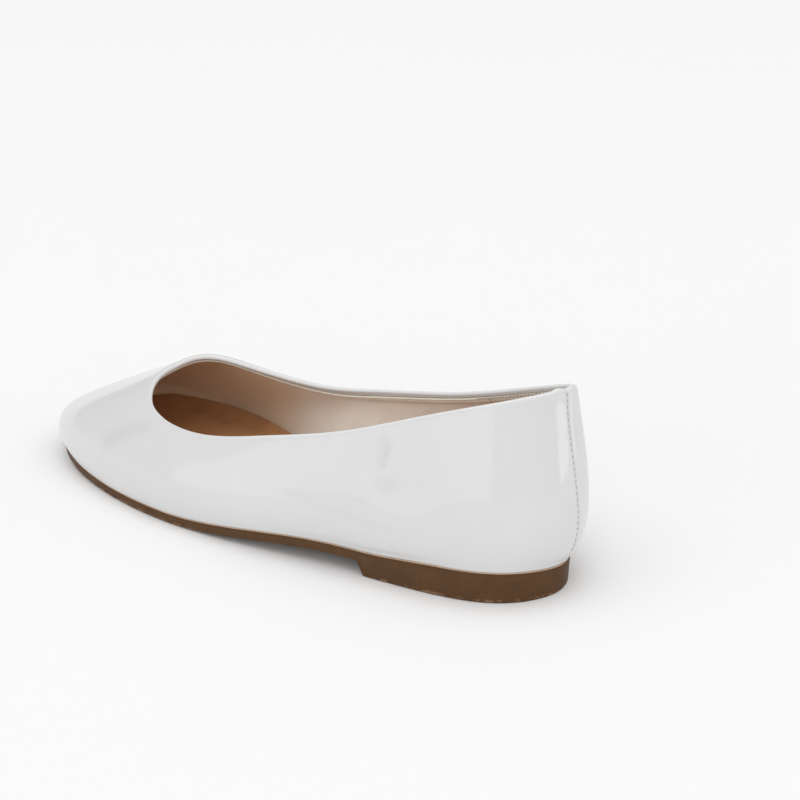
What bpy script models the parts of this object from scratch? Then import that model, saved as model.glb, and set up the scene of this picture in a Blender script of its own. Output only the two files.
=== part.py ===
"""Ballet flat, left shoe: a lasted upper, a moulded outsole with a low heel, and an insole.

The toe points along -Y, the outer (lateral) side lies along +X, and the floor is z = 0.
Every piece is worked out from one ring of sections round the shoe. Each section joins a
point of the feather edge, where upper and sole meet, to a point of the topline.
"""

from collections import namedtuple

import bmesh
import bpy
import numpy as np

# Last, in metres
LAST_LENGTH = 0.248         # heel end to toe point, along the feather edge
SEAT_WIDTH = 0.056          # across the heel seat
WAIST_WIDTH = 0.061         # across the waist
BALL_WIDTH = 0.0765         # across the toe joints
BACK_HEIGHT = 0.066         # floor to topline at the centre back
SIDE_HEIGHT = 0.040         # floor to topline at the waist
THROAT_HEIGHT = 0.043       # floor to topline at the throat

# Upper
UPPER_WALL = 0.0018         # patent and lining together
TOPLINE_WALL = 0.0027       # where the patent is folded over the lining
TOPLINE_FOLD = 0.005        # depth of the folded edge
LASTING_MARGIN = 0.009      # width turned in under the insole
FEATHER_ROUND = 0.0024      # rounding where the wall turns under
ROUND_REACH = 0.55          # handle of a quarter round, as a share of its radius

# Outsole
SOLE_THICKNESS = 0.0036     # at the forefoot and waist
SOLE_INSET = 0.0012         # sole edge inside the feather edge
SOLE_CHAMFER = 0.0007       # rounding along the tread edge
HEEL_LIFT = 0.0055          # what the heel block adds under the sole at its breast
SEAT_CROWN = 0.0014         # how much higher its edge line stands along the seat
BACK_DIP = 0.0030           # how much lower it lies at the inner back of the heel
HEEL_LENGTH = 0.060         # heel end to breast
HEEL_TAPER = 0.0007         # how far the heel block draws in towards the floor
BREAST_DRAFT = 0.0004       # lean of the heel breast
TOE_SPRING = 0.0070         # toe point above the floor

# Insole
INSOLE_THICKNESS = 0.0045   # under the foot
INSOLE_CURL = 0.0030        # how far its edge stands above the middle
INSOLE_CURL_WIDTH = 0.009
INSOLE_CURL_MIDWAY = 0.25   # share of the curl left half way down it
INSOLE_TOE_SHARE = 0.4      # of its thickness, left at the toe
INSOLE_ROUND = 0.0006       # rounding of its upper edge
JOINT_GAP = 0.0003          # between pieces that lie on each other

# Where the long profile of sole and insole changes, as shares of the last's length
ARCH_START = 0.28
ARCH_END = 0.60
SPRING_START = 0.72
CROWN_START = 0.12
CROWN_END = 0.24
DIP_END = 0.12
THINNING_START = 0.86
THINNING_END = 0.97

# Fineness of the meshes
SIDE_STATIONS = 46          # from heel to toe along one side
HEEL_STATIONS = 15          # those of them behind the breast
WALL_ROWS = 11              # up the side
FEATHER_ROWS = 4            # round the feather edge
FOLD_ROWS = 3               # down the folded edge
SOLE_COLUMNS = 8            # across the sole and the insole
TURN_SPACING = 0.03         # metres of side that one radian of turning counts for
FINE_PLACES = 600           # along one side, where stations are spaced out
NUDGE = 0.001               # step along the ring used to read its direction

# Each zone has its own width and topline height
ZONES = {
    "seat": (SEAT_WIDTH, BACK_HEIGHT),
    "waist": (WAIST_WIDTH, SIDE_HEIGHT),
    "ball": (BALL_WIDTH, SIDE_HEIGHT),
    "toe": (BALL_WIDTH, THROAT_HEIGHT),
}

# Sections round the last. Along is a share of the last's length from the heel end, and side
# a share of the zone's width, outer side positive. Rise and swell set how the wall leaves the
# feather edge, drop and fall how it comes down from the topline. Heights, rise and drop are
# shares of the zone's height, swell and fall of its width.
Section = namedtuple("Section", "name zone sole_along sole_side top_along top_side top_height "
                     "rise swell drop fall")
SECTIONS = (
    Section("centre_back", "seat", 0.000, 0.023, 0.015, -0.055, 0.99, 0.17, 0.190, 0.24, 0.05),
    Section("outer_heel", "seat", 0.030, 0.316, 0.048, 0.196, 0.98, 0.26, 0.125, 0.24, 0.07),
    Section("outer_seat", "seat", 0.130, 0.504, 0.139, 0.352, 0.89, 0.25, 0.110, 0.24, 0.07),
    Section("outer_shank", "waist", 0.266, 0.523, 0.267, 0.410, 1.21, 0.33, 0.080, 0.35, 0.07),
    Section("outer_waist", "waist", 0.423, 0.600, 0.403, 0.460, 1.01, 0.28, 0.065, 0.30, 0.07),
    Section("outer_joint", "ball", 0.652, 0.490, 0.566, 0.371, 0.85, 0.25, 0.050, 0.20, 0.12),
    Section("outer_vamp", "toe", 0.799, 0.402, 0.667, 0.303, 0.85, 0.24, 0.053, 0.14, 0.17),
    Section("outer_shoulder", "toe", 0.922, 0.243, 0.703, 0.132, 0.985, 0.19, 0.050, 0.20, 0.28),
    Section("toe", "toe", 0.995, -0.055, 0.718, -0.012, 1.015, 0.14, 0.005, 0.29, 0.34),
    Section("inner_shoulder", "toe", 0.945, -0.278, 0.707, -0.150, 1.045, 0.25, 0.050, 0.19, 0.29),
    Section("inner_vamp", "toe", 0.850, -0.465, 0.640, -0.265, 0.97, 0.25, 0.050, 0.14, 0.17),
    Section("inner_joint", "ball", 0.720, -0.505, 0.557, -0.373, 0.92, 0.25, 0.050, 0.20, 0.12),
    Section("inner_waist", "waist", 0.485, -0.385, 0.403, -0.477, 1.00, 0.28, 0.065, 0.30, 0.07),
    Section("inner_shank", "waist", 0.302, -0.407, 0.266, -0.410, 1.17, 0.33, 0.080, 0.35, 0.07),
    Section("inner_seat", "seat", 0.133, -0.478, 0.137, -0.368, 0.84, 0.25, 0.110, 0.24, 0.07),
    Section("inner_heel", "seat", 0.040, -0.290, 0.029, -0.272, 0.96, 0.20, 0.123, 0.24, 0.03),
)
TOE_SECTION = 8

# Colours, roughness
PATENT_WHITE = ((0.80, 0.80, 0.79), 0.12)
RUBBER_BROWN = ((0.15, 0.085, 0.05), 0.6)
SOCK_TAN = ((0.36, 0.20, 0.11), 0.7)


def ring_spline(knots, values, at):
    """Read a closed cubic spline with continuous curvature through the values at the knots."""
    count = len(knots) - 1
    step = np.diff(knots)
    before = np.roll(step, 1)
    slope = (np.roll(values, -1, 0) - values) / step[:, None]
    matrix = np.diag(2 * (before + step))
    for i in range(count):
        matrix[i, i - 1] += before[i]
        matrix[i, (i + 1) % count] += step[i]
    bend = np.linalg.solve(matrix, 6 * (slope - np.roll(slope, 1, 0)))
    at = np.asarray(at) % knots[-1]
    low = np.clip(np.searchsorted(knots, at, side="right") - 1, 0, count - 1)
    high = (low + 1) % count
    h = step[low][:, None]
    b = (at - knots[low])[:, None] / h
    a = 1 - b
    return (a * values[low] + b * values[high]
            + ((a ** 3 - a) * bend[low] + (b ** 3 - b) * bend[high]) * h ** 2 / 6)


def lasted_sizes():
    """Turn the table of shares into metres: feather and topline points and wall handles."""
    rows = []
    for section in SECTIONS:
        width, height = ZONES[section.zone]
        rows.append((section.sole_side * width, section.sole_along * LAST_LENGTH,
                     section.top_side * width, section.top_along * LAST_LENGTH,
                     section.top_height * height,
                     section.rise * height, section.swell * width,
                     section.drop * height, section.fall * width))
    return np.array(rows)


SIZES = lasted_sizes()
CHORDS = np.linalg.norm(np.roll(SIZES[:, :2], -1, 0) - SIZES[:, :2], axis=1)
KNOTS = np.concatenate([[0.0], np.cumsum(CHORDS)])


def smoothstep(x):
    x = np.clip(x, 0, 1)
    return x * x * (3 - 2 * x)


def tread_height(y):
    """Height of the tread in front of the breast: arch, flat forefoot and toe spring."""
    along = -y / LAST_LENGTH
    arch = HEEL_LIFT * smoothstep((ARCH_END - along) / (ARCH_END - ARCH_START))
    spring = TOE_SPRING * (np.clip(along - SPRING_START, 0, None) / (1 - SPRING_START)) ** 2
    return arch + spring


def sole_top(x, y):
    """Height of the sole under the upper, with the wave of its edge line at the seat."""
    along = -y / LAST_LENGTH
    crown = SEAT_CROWN * smoothstep((CROWN_END - along) / (CROWN_END - CROWN_START))
    inner = smoothstep(0.5 - x / SEAT_WIDTH)
    dip = BACK_DIP * inner * np.clip(1 - along / DIP_END, 0, 1) ** 2
    return tread_height(y) + SOLE_THICKNESS + crown - dip


def feather_edge(at, inset=0.0):
    """Plan points of the feather edge, moved in by an inset, and its outward normals."""
    here, ahead, behind = (ring_spline(KNOTS, SIZES[:, :2], at + step) for step in (0, NUDGE, -NUDGE))
    tangent = ahead - behind
    tangent /= np.linalg.norm(tangent, axis=1)[:, None]
    normal = np.column_stack([tangent[:, 1], -tangent[:, 0]])
    plan = here - np.reshape(inset, (-1, 1)) * normal
    points = np.column_stack([plan[:, 0], -plan[:, 1]])
    return points, np.column_stack([normal[:, 0], -normal[:, 1], 0 * at])


def topline(at):
    """Topline points, their outward normals in plan and the wall's handles there."""
    here, ahead, behind = (ring_spline(KNOTS, SIZES[:, 2:], at + step) for step in (0, NUDGE, -NUDGE))
    tangent = ahead[:, :2] - behind[:, :2]
    tangent /= np.linalg.norm(tangent, axis=1)[:, None]
    normal = np.column_stack([tangent[:, 1], tangent[:, 0], 0 * at])
    points = np.column_stack([here[:, 0], -here[:, 1], here[:, 2]])
    return points, normal, here[:, 3:]


def ring_stations():
    """Places round the ring, the same for every piece, with two stations at the breast.

    Between its ends each stretch is spaced by length plus turning, so the round heel and
    toe get more stations than the straight sides.
    """
    toe_place = KNOTS[TOE_SECTION]
    halves = []
    for start, end in ((0.0, toe_place), (KNOTS[-1], toe_place)):
        fine = np.linspace(start, end, FINE_PLACES)
        points, normals = feather_edge(fine)
        turning = np.linalg.norm(np.diff(normals, axis=0), axis=1)
        length = np.linalg.norm(np.diff(points, axis=0), axis=1)
        spent = np.concatenate([[0], np.cumsum(length + TURN_SPACING * turning)])
        along = np.maximum.accumulate(-points[:, 1])
        breast = np.interp([HEEL_LENGTH - BREAST_DRAFT, HEEL_LENGTH], along, spent)
        heel = np.interp(np.linspace(0, breast[0], HEEL_STATIONS), spent, fine)
        fore_count = SIDE_STATIONS - HEEL_STATIONS
        fore = np.interp(np.linspace(breast[1], spent[-1], fore_count), spent, fine)
        halves.append(np.concatenate([heel, fore]))
    outer, inner = halves
    return np.concatenate([outer, inner[-2:0:-1]])


PLACES = ring_stations()


def new_material(name, look):
    colour, roughness = look
    material = bpy.data.materials.new(name)
    material.use_nodes = True
    shader = material.node_tree.nodes["Principled BSDF"]
    shader.inputs["Base Color"].default_value = (*colour, 1)
    shader.inputs["Roughness"].default_value = roughness
    shader.inputs["Metallic"].default_value = 0.0
    return material


def new_object(name, mesh_data, material, collection, carrier):
    mesh = bpy.data.meshes.new(name)
    mesh_data.to_mesh(mesh)
    mesh_data.free()
    mesh.shade_smooth()
    mesh.materials.append(material)
    item = bpy.data.objects.new(name, mesh)
    item.parent = carrier
    collection.objects.link(item)
    return item


def loft(rows):
    """Closed rings of points, one above the other, joined by quads whose normals point out."""
    shape = bmesh.new()
    rings = [[shape.verts.new(point) for point in row] for row in rows]
    for lower, upper in zip(rings, rings[1:]):
        for i in range(len(lower)):
            j = (i + 1) % len(lower)
            shape.faces.new((lower[i], upper[i], upper[j], lower[j]))
    return shape, rings


def span(shape, ring, height, facing_up):
    """Fill a ring from its outer side across to its inner side, with columns between."""
    count = len(ring)
    rows = []
    for i in range(1, SIDE_STATIONS - 1):
        outer, inner = ring[i], ring[count - i]
        row = [outer]
        for column in range(1, SOLE_COLUMNS):
            point = outer.co.lerp(inner.co, column / SOLE_COLUMNS)
            point.z = height(i, point.x, point.y)
            row.append(shape.verts.new(point))
        rows.append(row + [inner])
    rows.insert(0, [ring[0]] * (SOLE_COLUMNS + 1))
    rows.append([ring[SIDE_STATIONS - 1]] * (SOLE_COLUMNS + 1))
    for near, far in zip(rows, rows[1:]):
        for column in range(SOLE_COLUMNS):
            corners = [near[column], near[column + 1], far[column + 1], far[column]]
            corners = list(dict.fromkeys(corners))
            if not facing_up:
                corners.reverse()
            shape.faces.new(corners)


def rim(inset, heights):
    """A ring of the feather edge, moved in, at the heights given."""
    points, _ = feather_edge(PLACES, inset)
    return np.column_stack([points, heights(points[:, 0], points[:, 1])])


def make_upper(material, collection, carrier):
    """The lasted shell: turned-in margin, feather edge, wall and folded topline."""

    def seat(x, y):
        return JOINT_GAP + sole_top(x, y)

    top, top_normal, handles = topline(PLACES)
    rise, swell, drop, fall = (handles[:, i:i + 1] for i in range(4))
    up = np.array([0.0, 0.0, 1.0])
    _, out = feather_edge(PLACES)
    foot = rim(0.0, seat) + FEATHER_ROUND * up
    foot_handle = foot + rise * up + swell * out
    top_handle = top - drop * up + fall * top_normal

    rows = [rim(LASTING_MARGIN, seat)]
    turn_start = rim(FEATHER_ROUND, seat)
    lean = foot_handle - foot
    lean /= np.linalg.norm(lean, axis=1)[:, None]
    reach = ROUND_REACH * FEATHER_ROUND
    for t in np.linspace(0, 1, FEATHER_ROWS, endpoint=False):
        rows.append(bezier(turn_start, turn_start + reach * out, foot - reach * lean, foot, t))
    fold_share = TOPLINE_FOLD / np.linalg.norm(top - foot, axis=1)[:, None]
    for t in np.linspace(0, 1, WALL_ROWS, endpoint=False):
        rows.append(bezier(foot, foot_handle, top_handle, top, t * (1 - fold_share)))
    for t in np.linspace(0, 1, FOLD_ROWS):
        rows.append(bezier(foot, foot_handle, top_handle, top, 1 - fold_share * (1 - t)))

    shape, rings = loft(rows)
    upper = new_object("upper", shape, material, collection, carrier)
    thickness = upper.vertex_groups.new(name="wall_share")
    folded = FOLD_ROWS - 1
    plain = len(rings) - folded
    around = len(PLACES)
    wall = list(range(plain * around))
    fold = list(range(plain * around, len(rings) * around))
    thickness.add(wall, UPPER_WALL / TOPLINE_WALL, "REPLACE")
    thickness.add(fold, 1.0, "REPLACE")
    shell = upper.modifiers.new("wall", "SOLIDIFY")
    shell.thickness = TOPLINE_WALL
    shell.offset = -1
    shell.use_even_offset = True
    shell.vertex_group = thickness.name
    return upper


def bezier(a, b, c, d, t):
    return (1 - t) ** 3 * a + 3 * (1 - t) ** 2 * t * b + 3 * (1 - t) * t ** 2 * c + t ** 3 * d


def make_outsole(material, collection, carrier):
    """The moulded unit: sole edge, tread with arch and toe spring, and the heel block."""
    in_heel = np.zeros(len(PLACES), bool)
    in_heel[:HEEL_STATIONS] = True
    in_heel[len(PLACES) - HEEL_STATIONS + 1:] = True
    taper = np.where(in_heel, HEEL_TAPER, 0.0)

    def tread(x, y):
        return np.where(in_heel, 0.0, tread_height(y))

    rows = [
        rim(SOLE_INSET + taper + SOLE_CHAMFER, tread),
        rim(SOLE_INSET + taper, lambda x, y: tread(x, y) + SOLE_CHAMFER),
        rim(SOLE_INSET, lambda x, y: sole_top(x, y) - SOLE_CHAMFER),
        rim(SOLE_INSET + SOLE_CHAMFER / 2, sole_top),
    ]
    shape, rings = loft(rows)
    span(shape, rings[0], lambda i, x, y: 0.0 if i < HEEL_STATIONS else tread_height(y), False)
    span(shape, rings[-1], lambda i, x, y: sole_top(x, y), True)
    return new_object("outsole", shape, material, collection, carrier)


def make_insole(material, collection, carrier):
    """The board and sock on the turned-in margin, filled down to the sole inside it."""
    edge = UPPER_WALL + 2 * JOINT_GAP
    middle = LASTING_MARGIN + 2 * JOINT_GAP

    def underside(x, y):
        return sole_top(x, y) + JOINT_GAP

    def ledge(x, y):
        return sole_top(x, y) + UPPER_WALL + 2 * JOINT_GAP

    def fullness(y):
        thinning = smoothstep((-y / LAST_LENGTH - THINNING_START) / (THINNING_END - THINNING_START))
        return 1 - (1 - INSOLE_TOE_SHARE) * thinning, 1 - thinning

    def surface(x, y):
        under = tread_height(y) + SOLE_THICKNESS + UPPER_WALL + 2 * JOINT_GAP
        return under + INSOLE_THICKNESS * fullness(y)[0]

    def crest(x, y, share=1.0):
        return surface(x, y) + share * INSOLE_CURL * fullness(y)[1]

    rows = [
        rim(middle, underside),
        rim(middle, ledge),
        rim(edge, ledge),
        rim(edge, lambda x, y: crest(x, y) - INSOLE_ROUND),
        rim(edge + INSOLE_ROUND, crest),
        rim(edge + INSOLE_CURL_WIDTH / 2, lambda x, y: crest(x, y, INSOLE_CURL_MIDWAY)),
        rim(edge + INSOLE_CURL_WIDTH, surface),
    ]
    shape, rings = loft(rows)
    span(shape, rings[0], lambda i, x, y: underside(x, y), False)
    span(shape, rings[-1], lambda i, x, y: surface(x, y), True)
    return new_object("insole", shape, material, collection, carrier)


def centre_on_floor(carrier, items):
    """Move the carrier so that the middle of the shoe's outline stands at the origin."""
    bpy.context.view_layer.update()
    corners = np.array([item.matrix_world @ vertex.co for item in items
                        for vertex in item.data.vertices])
    middle = (corners.min(0) + corners.max(0)) / 2
    carrier.location = (-middle[0], -middle[1], 0.0)


def main():
    for item in list(bpy.data.objects):
        bpy.data.objects.remove(item, do_unlink=True)
    collection = bpy.data.collections.new("ballet_flat")
    bpy.context.scene.collection.children.link(collection)
    carrier = bpy.data.objects.new("ballet_flat_origin", None)
    collection.objects.link(carrier)
    items = [
        make_upper(new_material("patent_white", PATENT_WHITE), collection, carrier),
        make_outsole(new_material("rubber_brown", RUBBER_BROWN), collection, carrier),
        make_insole(new_material("sock_tan", SOCK_TAN), collection, carrier),
    ]
    centre_on_floor(carrier, items)


main()
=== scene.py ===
# Ballet flat, left shoe, in white patent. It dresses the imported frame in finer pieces.
# Lengths are in metres. The toe points along -Y, the outer side lies along +X.
import math

import bpy
import numpy as np
from mathutils import Matrix, Vector


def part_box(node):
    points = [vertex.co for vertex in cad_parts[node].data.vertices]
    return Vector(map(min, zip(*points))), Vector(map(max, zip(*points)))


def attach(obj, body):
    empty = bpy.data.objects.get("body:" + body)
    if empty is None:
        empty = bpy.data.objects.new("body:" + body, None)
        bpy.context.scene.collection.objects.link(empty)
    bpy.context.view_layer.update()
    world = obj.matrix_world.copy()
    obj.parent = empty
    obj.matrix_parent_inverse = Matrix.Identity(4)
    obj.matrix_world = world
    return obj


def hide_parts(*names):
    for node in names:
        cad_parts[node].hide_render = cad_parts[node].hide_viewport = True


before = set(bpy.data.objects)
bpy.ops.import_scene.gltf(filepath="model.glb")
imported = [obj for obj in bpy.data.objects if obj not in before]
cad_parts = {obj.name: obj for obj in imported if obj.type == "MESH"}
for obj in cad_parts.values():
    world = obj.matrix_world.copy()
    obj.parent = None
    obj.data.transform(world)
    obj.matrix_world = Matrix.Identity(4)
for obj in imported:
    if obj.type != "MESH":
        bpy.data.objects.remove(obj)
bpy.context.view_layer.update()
print("frame loaded")


# Last
# The shoe's own sizes. A section has a zone, then along and side at the feather edge, along,
# side and height at the topline, and the rise, swell, drop and fall of its curve, as shares.
# The outer quarter and the throat are a little softer than the solids', by under 2 mm.
last = {
    "length": 0.248,
    "seatWidth": 0.056, "waistWidth": 0.061, "ballWidth": 0.0765,
    "backHeight": 0.066, "sideHeight": 0.040, "throatHeight": 0.043,
    "featherRound": 0.0024,
    "lastingMargin": 0.009,
}
zones = {
    "seat": (last["seatWidth"], last["backHeight"]),
    "waist": (last["waistWidth"], last["sideHeight"]),
    "ball": (last["ballWidth"], last["sideHeight"]),
    "toe": (last["ballWidth"], last["throatHeight"]),
}
lastSections = (
    ("seat", 0.000, 0.023, 0.015, -0.055, 0.99, 0.17, 0.190, 0.24, 0.05),
    ("seat", 0.030, 0.316, 0.048, 0.196, 0.98, 0.26, 0.125, 0.24, 0.07),
    ("seat", 0.130, 0.504, 0.139, 0.352, 0.89, 0.14, 0.100, 0.24, 0.07),
    ("waist", 0.266, 0.523, 0.267, 0.410, 1.21, 0.16, 0.068, 0.35, 0.07),
    ("waist", 0.423, 0.600, 0.403, 0.460, 1.01, 0.21, 0.045, 0.30, 0.07),
    ("ball", 0.652, 0.490, 0.566, 0.371, 0.85, 0.22, 0.044, 0.20, 0.12),
    ("toe", 0.799, 0.402, 0.661, 0.307, 0.853, 0.24, 0.053, 0.14, 0.17),
    ("toe", 0.922, 0.243, 0.707, 0.157, 0.966, 0.19, 0.050, 0.20, 0.28),
    ("toe", 0.995, -0.055, 0.720, -0.010, 1.015, 0.14, 0.005, 0.29, 0.34),
    ("toe", 0.945, -0.278, 0.703, -0.150, 1.048, 0.25, 0.050, 0.19, 0.29),
    ("toe", 0.850, -0.465, 0.639, -0.262, 0.974, 0.25, 0.050, 0.14, 0.17),
    ("ball", 0.720, -0.505, 0.552, -0.354, 0.935, 0.25, 0.050, 0.20, 0.12),
    ("waist", 0.485, -0.385, 0.403, -0.477, 1.00, 0.28, 0.065, 0.30, 0.07),
    ("waist", 0.302, -0.407, 0.266, -0.410, 1.17, 0.33, 0.080, 0.35, 0.07),
    ("seat", 0.133, -0.478, 0.137, -0.368, 0.84, 0.25, 0.110, 0.24, 0.07),
    ("seat", 0.040, -0.290, 0.029, -0.272, 0.96, 0.20, 0.123, 0.24, 0.03),
)
toeSection = 8  # the row at the point of the toe

# Long profile of the sole, heights in metres and places as shares of the last's length.
sole = {
    "thickness": 0.0036, "inset": 0.0012, "heelLift": 0.0055, "toeSpring": 0.0070,
    "seatCrown": 0.0014, "backDip": 0.0030,
    "heelLength": 0.060, "heelTaper": 0.0007, "breastRound": 0.0008,
    "archStart": 0.28, "archEnd": 0.60, "springStart": 0.72,
    "crownStart": 0.12, "crownEnd": 0.24, "dipEnd": 0.12,
}
gap = 0.0003  # left between one piece and the next
touching = 1e-6
directionStep = 0.001  # a ring curve's direction is taken this far ahead and behind
upward = np.array([0.0, 0.0, 1.0])


def sectionSizes():
    rows = []
    for zone, soleAlong, soleSide, topAlong, topSide, topHeight, *curve in lastSections:
        width, height = zones[zone]
        rise, swell, drop, fall = curve
        rows.append((soleSide * width, soleAlong * last["length"],
                     topSide * width, topAlong * last["length"], topHeight * height,
                     rise * height, swell * width, drop * height, fall * width))
    return np.array(rows)


sizes = sectionSizes()
chords = np.linalg.norm(np.roll(sizes[:, :2], -1, 0) - sizes[:, :2], axis=1)
knots = np.concatenate([[0.0], np.cumsum(chords)])
ringLength = knots[-1]
toePlace = knots[toeSection]


# Closed cubic spline through the values at the knots, solved for its second derivatives.
def ringSpline(values, at):
    count = len(knots) - 1
    step = np.diff(knots)
    before = np.roll(step, 1)
    slope = (np.roll(values, -1, 0) - values) / step[:, None]
    matrix = np.diag(2 * (before + step))
    matrix += np.roll(np.diag(before), -1, 1) + np.roll(np.diag(step), 1, 1)
    bend = np.linalg.solve(matrix, 6 * (slope - np.roll(slope, 1, 0)))
    at = np.asarray(at) % ringLength
    low = np.clip(np.searchsorted(knots, at, side="right") - 1, 0, count - 1)
    high = (low + 1) % count
    h = step[low][:, None]
    b = (at - knots[low])[:, None] / h
    a = 1 - b
    return (a * values[low] + b * values[high]
            + ((a ** 3 - a) * bend[low] + (b ** 3 - b) * bend[high]) * h ** 2 / 6)


# Smooth step from 0 to 1: three times the square less twice the cube.
def smoothstep(x):
    x = np.clip(x, 0, 1)
    return x * x * (3 - 2 * x)


# Smooth step from 0 at one place to 1 at another, in either order.
def between(x, start, end):
    return smoothstep((x - start) / (end - start))


# Bell of height one, down to about a third at its width.
def bump(x, width):
    return np.exp(-(x / width) ** 2)


def unit(v):
    return v / np.maximum(np.linalg.norm(v, axis=-1, keepdims=True), 1e-12)


# Cubic curve with two handles, for whole arrays of stations.
def bezier(a, b, c, d, t):
    return (1 - t) ** 3 * a + 3 * (1 - t) ** 2 * t * b + 3 * (1 - t) * t ** 2 * c + t ** 3 * d


# Arch, flat forefoot and toe spring: a smooth step down, then a rising parabola.
def treadHeight(along):
    share = along / last["length"]
    arch = sole["heelLift"] * between(share, sole["archEnd"], sole["archStart"])
    spring = np.clip(share - sole["springStart"], 0, None) / (1 - sole["springStart"])
    return arch + sole["toeSpring"] * spring ** 2


# Sole top: tread plus thickness, raised along the seat and let down at its inner back.
def soleTop(side, along):
    share = along / last["length"]
    crown = sole["seatCrown"] * between(share, sole["crownEnd"], sole["crownStart"])
    inner = smoothstep(0.5 - side / last["seatWidth"])
    dip = sole["backDip"] * inner * np.clip(1 - share / sole["dipEnd"], 0, 1) ** 2
    return treadHeight(along) + sole["thickness"] + crown - dip


# Where the turned edge lies: the sole's top and the gap over it.
def seatHeight(side, along):
    return soleTop(side, along) + gap


# Points of a ring curve, and its direction in plan from the points just ahead and behind.
def ringCurve(values, at):
    offsets = (0, directionStep, -directionStep)
    here, ahead, behind = (ringSpline(values, at + offset) for offset in offsets)
    return here, unit((ahead - behind)[:, :2])


# Points of the feather edge in plan (side, along), moved in by an inset, and outward normals.
def featherEdge(at, inset=0.0):
    here, tangent = ringCurve(sizes[:, :2], at)
    normal = np.column_stack([tangent[:, 1], -tangent[:, 0]])
    return here - np.reshape(inset, (-1, 1)) * normal, normal


# Local frame: side, minus along, height. The shoe is centred on its own box at the end.
def rim(at, inset, height):
    plan, _ = featherEdge(at, inset)
    return np.column_stack([plan[:, 0], -plan[:, 1], height(plan[:, 0], plan[:, 1])])


# Places round the ring, spaced by length plus turning, the same number on both sides, with
# closer ones by the back seam and a set of them across the heel breast.
ringCounts = {
    "side": 215, "heel": 58, "fineSteps": 3000,
    "turning": 0.02, "seamReach": 0.006, "seamStep": 0.00025,
    "breastMarks": (2.0, 1.0, 0.62, 0.29, 0.08, 0.0),  # corner radii behind the heel breast
}


def ringPlaces():
    breast = sole["heelLength"] - sole["breastRound"] * np.array(ringCounts["breastMarks"])
    halves = []
    for start in (0.0, ringLength):
        fine = np.linspace(start, toePlace, ringCounts["fineSteps"])
        plan, normal = featherEdge(fine)
        turning = np.linalg.norm(np.diff(normal, axis=0), axis=1)
        length = np.linalg.norm(np.diff(plan, axis=0), axis=1)
        run = np.concatenate([[0], np.cumsum(length)])
        spent = np.concatenate([[0], np.cumsum(length + ringCounts["turning"] * turning)])
        along = np.maximum.accumulate(plan[:, 1])
        seam = np.arange(0, ringCounts["seamReach"], ringCounts["seamStep"])
        marks = np.interp(breast, along, spent)
        seamEnd = np.interp(ringCounts["seamReach"], run, spent)
        heel = np.linspace(seamEnd, marks[0], ringCounts["heel"], endpoint=False)
        fore = np.linspace(marks[-1], spent[-1], ringCounts["side"] - ringCounts["heel"])[1:]
        stations = np.concatenate([np.interp(seam, run, spent), heel, marks, fore])
        halves.append(np.interp(stations, spent, fine))
    outer, inner = halves
    return np.concatenate([outer, inner[-2:0:-1]]), len(outer) - 1


places, half = ringPlaces()  # half is the column at the point of the toe
ringCount = len(places)


# A ring on the sole's top, moved in from the feather edge and lifted.
def seatRing(inset, lift=0.0):
    return rim(places, inset, lambda x, y: seatHeight(x, y) + lift)


# Outer surface of the lasted wall: a cubic curve at each place, at height shares from 0 at the
# feather edge to 1 at the topline. With it go the lean of its foot and the way out in plan.
def wallSurface(at, shares):
    here, tangent = ringCurve(sizes[:, 2:], at)
    topNormal = np.column_stack([tangent[:, 1], tangent[:, 0], 0 * at])
    top = np.column_stack([here[:, 0], -here[:, 1], here[:, 2]])
    rise, swell, drop, fall = (here[:, 3 + i:4 + i] for i in range(4))
    _, plan = featherEdge(at)
    out = np.column_stack([plan[:, 0], -plan[:, 1], 0 * at])
    foot = rim(at, 0.0, seatHeight) + last["featherRound"] * upward
    footHandle = foot + rise * upward + swell * out
    topHandle = top - drop * upward + fall * topNormal
    wall = np.array([bezier(foot, footHandle, topHandle, top, v) for v in shares])
    return wall, footHandle - foot, out


# Outward normals of a grid of points, rows up the wall and columns round the closed ring.
def gridNormals(points):
    acrossRing = np.roll(points, -1, 1) - np.roll(points, 1, 1)
    upRows = np.gradient(points, axis=0)
    return unit(np.cross(upRows, acrossRing))


# Shoe centre, taken off every piece so that it stands on its origin as the frame does.
outlineRows = 40
outline = wallSurface(places, np.linspace(0, 1, outlineRows))[0][..., :2]
shoeCentre = np.array([*(outline.min((0, 1)) + outline.max((0, 1))) / 2, 0.0])
boxLow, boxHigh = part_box("upper")
shoeCentre[0] -= (boxLow.x + boxHigh.x) / 2
shoeCentre[1] -= (boxLow.y + boxHigh.y) / 2


# Mesh building
def newObject(name, data):
    item = bpy.data.objects.new(name, data)
    bpy.context.scene.collection.objects.link(item)
    return item


def makeObject(name, points, faces, material, uvs=None, attributes=None):
    mesh = bpy.data.meshes.new(name)
    mesh.from_pydata((points - shoeCentre).tolist(), [], faces)
    mesh.update()
    mesh.shade_smooth()
    if uvs is not None:
        layer = mesh.uv_layers.new(name="surface")
        loops = np.zeros(len(mesh.loops), np.int32)
        mesh.loops.foreach_get("vertex_index", loops)
        layer.data.foreach_set("uv", uvs[loops].astype(np.float32).ravel())
    for key, values in (attributes or {}).items():
        data = mesh.attributes.new(key, "FLOAT", "POINT")
        data.data.foreach_set("value", np.asarray(values, np.float32).ravel())
    item = newObject(name, mesh)
    mesh.materials.append(material)
    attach(item, "root")
    return item


# Quads between rows of rings, closed round the ring and, if asked, from last row to first.
def ringFaces(rows, count, closed, start=0):
    r = np.arange(rows if closed else rows - 1)[:, None]
    c = np.arange(count)[None, :]
    nextRow = (r + 1) % rows
    nextCol = (c + 1) % count
    corners = (r * count + c, nextRow * count + c, nextRow * count + nextCol, r * count + nextCol)
    quads = np.stack([np.broadcast_to(k, (len(r), count)) for k in corners], -1)
    return quads.reshape(-1, 4) + start


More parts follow.
